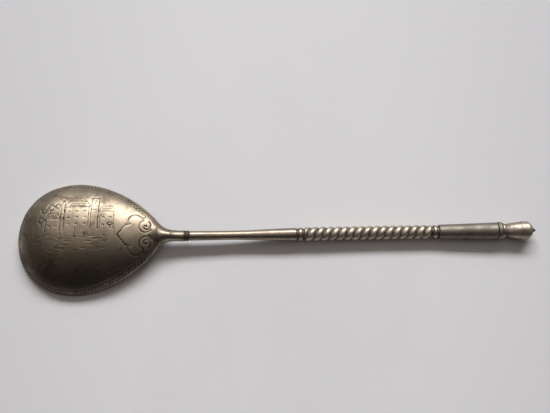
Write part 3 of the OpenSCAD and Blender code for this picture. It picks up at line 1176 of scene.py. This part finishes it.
def buildCrown():
    # the cup flares in three steps with a fine line between them, and the cap has two steps
    s0, s1 = crownSpan
    foot = finialSize["footRadius"]
    rim = finialSize["rimRadius"]
    corners = [(s0, 0.6, 0, 1, 0), (s0, foot, 0.05, 0.95, 0), (s0 + 0.35, foot + 0.03, 0.2, 0.5, 0)]
    corners += [(s0 + 2.0, foot + 0.33, 0.3, 0, 0.2), (s0 + 2.12, foot + 0.3, 0.05, 0.35, 0)]
    corners += [(s0 + 2.25, foot + 0.37, 0.1, 0, 0.4), (s0 + 4.15, foot + 0.68, 0.3, 0, 0.3)]
    corners += [(s0 + 4.27, foot + 0.66, 0.05, 0.4, 0), (s0 + 4.4, rim - 0.07, 0.15, 0, 0.5)]
    corners += [(s1 - 0.25, rim, 0.2, 0, 0.3), (s1, rim - 0.2, 0.1, 0.1, 0.2), (s1, 0.6, 0, 0.6, 0)]

    def flute(s, angle):
        swell = clamp((s - s0 - 2.3) / 1.2) * clamp((s1 - s) / 0.5)
        return -finialSize["fluteDepth"] * swell * (0.5 + 0.5 * math.cos(finialSize["flutes"] * angle))

    finish = silverFinish("finialSilver", finialFinish)
    profile = roundedProfile(corners, 0.2)
    turnPiece("finialCrown", "finial_crown", finish, profile, 120, 0.04, flute)
    s0, s1 = capSpan
    r = finialSize["capRadius"]
    hole = finialSize["pinRadius"] + 0.12
    corners = [(s0, 0.6, 0, 1, 0), (s0, r, 0.05, 0.7, 0), (s0 + 0.32, r, 0.12, 0, 0.5)]
    corners += [(s0 + 0.42, r * 0.87, 0.06, 0.7, 0), (s0 + 0.8, r * 0.76, 0.2, 0, 0.5)]
    corners += [(s0 + 0.92, r * 0.6, 0.06, 0.7, 0), (s1 - 0.05, hole + 0.15, 0.1, 0, 0.2)]
    corners += [(s1, 0.3, 0, 0.8, 0)]
    profile = roundedProfile(corners, 0.12)
    turnPiece("finialCap", "finial_cap", finish, profile, sides=96, wobble=0.05)


pinLook = {
    "iron": (0.03, 0.027, 0.024),
    "rust": (0.09, 0.045, 0.02),
    "smooth": 0.4,
    "rough": 0.75,
}


def buildPin():
    s0, s1 = pinSpan
    r = finialSize["pinRadius"]
    corners = [(s0, 0.2, 0, 0, 0), (s0, r, 0.1, 0, 0), (s1 - 0.25, r, 0.15, 0, 0.3)]
    corners += [(s1, r * 0.6, 0.12, 0, 0.4), (s1, 0.1, 0, 0, 0)]
    material, tree, shader, coords = startFinish("pinIron")
    rust = spread(tree, noisePattern(tree, coords, 2.4, 5), 0.42, 0.62)
    colour = mixTone(tree, rust, pinLook["iron"], pinLook["rust"])
    tree.links.new(colour, shader.inputs["Base Color"])
    pits = noisePattern(tree, coords, 5.0, 4)
    rough = spread(tree, pits, 0.3, 0.7, pinLook["smooth"], pinLook["rough"])
    tree.links.new(rough, shader.inputs["Roughness"])
    shader.inputs["Metallic"].default_value = 0.7
    bump = tree.nodes.new("ShaderNodeBump")
    bump.inputs["Distance"].default_value = 0.05 * mm
    tree.links.new(noisePattern(tree, coords, 6.0, 4, 0.7), bump.inputs["Height"])
    tree.links.new(bump.outputs[0], shader.inputs["Normal"])
    profile = roundedProfile(corners, 0.2)
    turnPiece("finialPin", "finial_pin", material, profile, sides=40, wobble=0.02)


buildGrip()
buildBead()
buildCrown()
buildPin()


# The pale table, with painted light: lighter in the middle, with painted shade towards the edges

tableLook = {
    "side": 1.6,  # metres
    "steps": 24,
    "light": (0.838, 0.838, 0.848),
    "shade": (0.742, 0.742, 0.762),
    "smudges": 0.3,
    "paintedLightMiddle": (0, 10, 0),  # millimetres, like the rest of the painted falloff
    "paintedLightShape": (1, 0.5, 1),
    "paintedFalloffFrom": 25,
    "paintedFalloffTo": 105,
}


def buildTable():
    mesh = bpy.data.meshes.new("table")
    half = tableLook["side"] / 2
    steps = tableLook["steps"]
    line = [blend(-half, half, i / steps) for i in range(steps + 1)]
    points = [(x, y, 0) for y in line for x in line]
    mesh.from_pydata(points, [], gridFaces(steps + 1, steps + 1))
    material, tree, shader, coords = startFinish("tablePaper")
    smudge = spread(tree, noisePattern(tree, coords, 0.02, 5, 0.6), 0.35, 0.7)
    smudge = combine(tree, "MULTIPLY", smudge, tableLook["smudges"])
    reach = tree.nodes.new("ShaderNodeVectorMath")
    reach.operation = "LENGTH"
    tree.links.new(stretch(tree, coords, tableLook["paintedLightShape"], tableLook["paintedLightMiddle"]), reach.inputs[0])
    # painted shade: the paper darkens away from the middle, as if the light fell off
    paintedFalloff = spread(tree, reach.outputs["Value"], tableLook["paintedFalloffFrom"], tableLook["paintedFalloffTo"])
    share = combine(tree, "MAXIMUM", smudge, paintedFalloff)
    colour = mixTone(tree, share, tableLook["light"], tableLook["shade"])
    tree.links.new(colour, shader.inputs["Base Color"])
    shader.inputs["Roughness"].default_value = 0.75
    shader.inputs["Specular IOR Level"].default_value = 0.25
    bump = tree.nodes.new("ShaderNodeBump")
    bump.inputs["Distance"].default_value = 0.03 * mm
    tree.links.new(noisePattern(tree, coords, 1.2, 4), bump.inputs["Height"])
    tree.links.new(bump.outputs[0], shader.inputs["Normal"])
    mesh.materials.append(material)
    table = bpy.data.objects.new("table", mesh)
    bpy.context.scene.collection.objects.link(table)


buildTable()
print("table made")


# Camera and light

viewLook = {
    "aim": (0.0, 7.56, 0.0),
    "roll": 1.79,
    "height": 79.2,  # degrees over the table
    "distance": 180.0,
    "frameWidth": 152.1,  # width of the picture at the table
    "sensor": 36.0,
}
lightLook = {  # angles in degrees, distance in metres
    "windowHeight": 39.9,
    "windowTall": 12.0,
    "windowWide": 58.0,
    "windowWatts": 33.5,
    "glowHeight": 29.5,
    "glowTall": 12.0,
    "glowWatts": 2.7,
    "toRight": 1.0,
    "distance": 1.8,
    "colour": (0.985, 0.99, 1.0),
    "roomDark": (0.045, 0.04, 0.039),
    "roomBright": (0.53, 0.475, 0.435),
    "roomBrightWay": (0.0, 0.34, 0.94),
    "roomFade": (0.72, 0.97),
}


def facing(place, aim):
    back = (place - aim).normalized()
    rightWay = Vector((0, 0, 1)).cross(back).normalized()
    up = back.cross(rightWay)
    turn = Matrix((rightWay, up, back)).transposed().to_4x4()
    return Matrix.Translation(place) @ turn


def awayWay(toRight=0.0):
    # level, away from the camera, turned to the right by some degrees
    turn = math.radians(viewLook["roll"] + toRight)
    return Vector((math.sin(turn), math.cos(turn), 0))


def placeCamera():
    aim = Vector(viewLook["aim"]) * mm
    rise = math.radians(viewLook["height"])
    way = -awayWay() * math.cos(rise) + Vector((0, 0, math.sin(rise)))
    place = aim + way * viewLook["distance"] * mm
    data = bpy.data.cameras.new("camera")
    data.sensor_width = viewLook["sensor"]
    data.lens = viewLook["sensor"] * viewLook["distance"] / viewLook["frameWidth"]
    data.clip_start = 0.01
    camera = bpy.data.objects.new("camera", data)
    bpy.context.scene.collection.objects.link(camera)
    camera.matrix_world = facing(place, aim)
    bpy.context.scene.camera = camera


def placeLight(name, height, tall, watts):
    rise = math.radians(height)
    distance = lightLook["distance"]
    way = awayWay(lightLook["toRight"]) * math.cos(rise) + Vector((0, 0, math.sin(rise)))
    data = bpy.data.lights.new(name, "AREA")
    data.shape = "RECTANGLE"
    data.size = 2 * distance * math.tan(math.radians(lightLook["windowWide"] / 2))
    data.size_y = 2 * distance * math.tan(math.radians(tall / 2))
    data.energy = watts
    data.color = lightLook["colour"]
    light = bpy.data.objects.new(name, data)
    bpy.context.scene.collection.objects.link(light)
    light.matrix_world = facing(way * distance, Vector((0, 0, 0)))


def buildRoom():
    # a dim room with a pale ceiling, brightest a little towards the window
    world = bpy.data.worlds.new("room")
    world.use_nodes = True
    tree = world.node_tree
    way = tree.nodes.new("ShaderNodeTexCoord")
    toWindow = tree.nodes.new("ShaderNodeVectorMath")
    toWindow.operation = "DOT_PRODUCT"
    toWindow.inputs[1].default_value = lightLook["roomBrightWay"]
    tree.links.new(way.outputs["Generated"], toWindow.inputs[0])
    share = spread(tree, toWindow.outputs["Value"], *lightLook["roomFade"])
    tone = mixTone(tree, share, lightLook["roomDark"], lightLook["roomBright"])
    tree.links.new(tone, tree.nodes["Background"].inputs["Color"])
    bpy.context.scene.world = world


placeCamera()
placeLight("window", lightLook["windowHeight"], lightLook["windowTall"], lightLook["windowWatts"])
placeLight("windowGlow", lightLook["glowHeight"], lightLook["glowTall"], lightLook["glowWatts"])
buildRoom()
bpy.context.scene.view_settings.view_transform = "Standard"
print("camera and lights placed")
